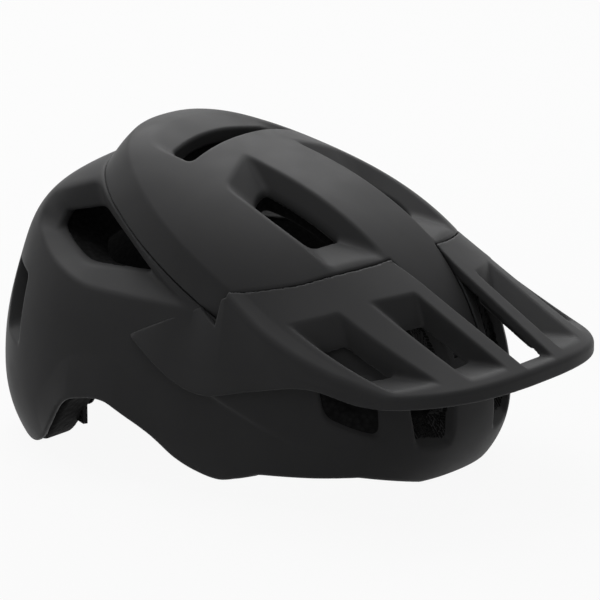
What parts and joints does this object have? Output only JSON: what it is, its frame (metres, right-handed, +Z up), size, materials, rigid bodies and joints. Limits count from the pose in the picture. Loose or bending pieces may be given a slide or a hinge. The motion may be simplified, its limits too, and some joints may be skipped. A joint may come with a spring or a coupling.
{
  "type": "cycling helmet",
  "caption": "Half-shell cycling helmet with a vented crown panel, a broad slotted visor, a padded foam liner and a dial-drawn rear cradle.",
  "frame": {"origin": "under the middle of the whole length and width, on the plane the rim rests on", "axes": "+X to the wearer's front, +Y to the wearer's left, +Z up"},
  "size_m": [0.3177, 0.206, 0.1647],
  "materials": {
    "shell_black": "matte",
    "visor_black": "matte",
    "liner_foam": "foam",
    "fitting_black": "satin",
    "cradle_black": "satin",
    "dial_rubber": "matte",
    "pad_fabric": "knit"
  },
  "bodies": {
    "helmet": {"eps_liner": "liner_foam", "lower_shell": "shell_black", "crown_shell": "shell_black", "visor": "visor_black", "left_visor_snap": "fitting_black", "right_visor_snap": "fitting_black", "brow_pad": "pad_fabric", "crown_pad": "pad_fabric", "left_top_pad": "pad_fabric", "right_top_pad": "pad_fabric", "left_temple_pin": "fitting_black", "right_temple_pin": "fitting_black", "left_front_strap_anchor": "fitting_black", "left_rear_strap_anchor": "fitting_black", "right_front_strap_anchor": "fitting_black", "right_rear_strap_anchor": "fitting_black"},
    "cradle": {"cradle_band": "cradle_black", "cradle_cover": "cradle_black"},
    "dial": {"fit_dial": "dial_rubber", "dial_pinion": "cradle_black"},
    "left_draw": {"left_arm": "cradle_black", "left_arm_pad": "pad_fabric"},
    "right_draw": {"right_arm": "cradle_black", "right_arm_pad": "pad_fabric"}
  },
  "joints": [
    {"name": "cradle_tilt", "type": "hinge", "parent": "helmet", "child": "cradle", "pos_m": [-0.009, 0, 0.049], "axis": [0, 1, 0], "range_deg": [-4, 4]},
    {"name": "dial_turn", "type": "hinge", "parent": "cradle", "child": "dial", "pos_m": [-0.135, 0, 0.026], "axis": [1, 0, 0], "range_deg": [-120, 120]},
    {"name": "left_arm_draw", "type": "hinge", "parent": "cradle", "child": "left_draw", "pos_m": [-0.0535, 0, 0.026], "axis": [0, 0, 1], "range_deg": [-8, 8]},
    {"name": "right_arm_draw", "type": "hinge", "parent": "cradle", "child": "right_draw", "pos_m": [-0.0535, 0, 0.026], "axis": [0, 0, 1], "range_deg": [-8, 8]}
  ],
  "couplings": [
    {"joint": "left_arm_draw", "follows": "dial_turn", "ratio": 0.064286},
    {"joint": "right_arm_draw", "follows": "dial_turn", "ratio": -0.064286}
  ]
}
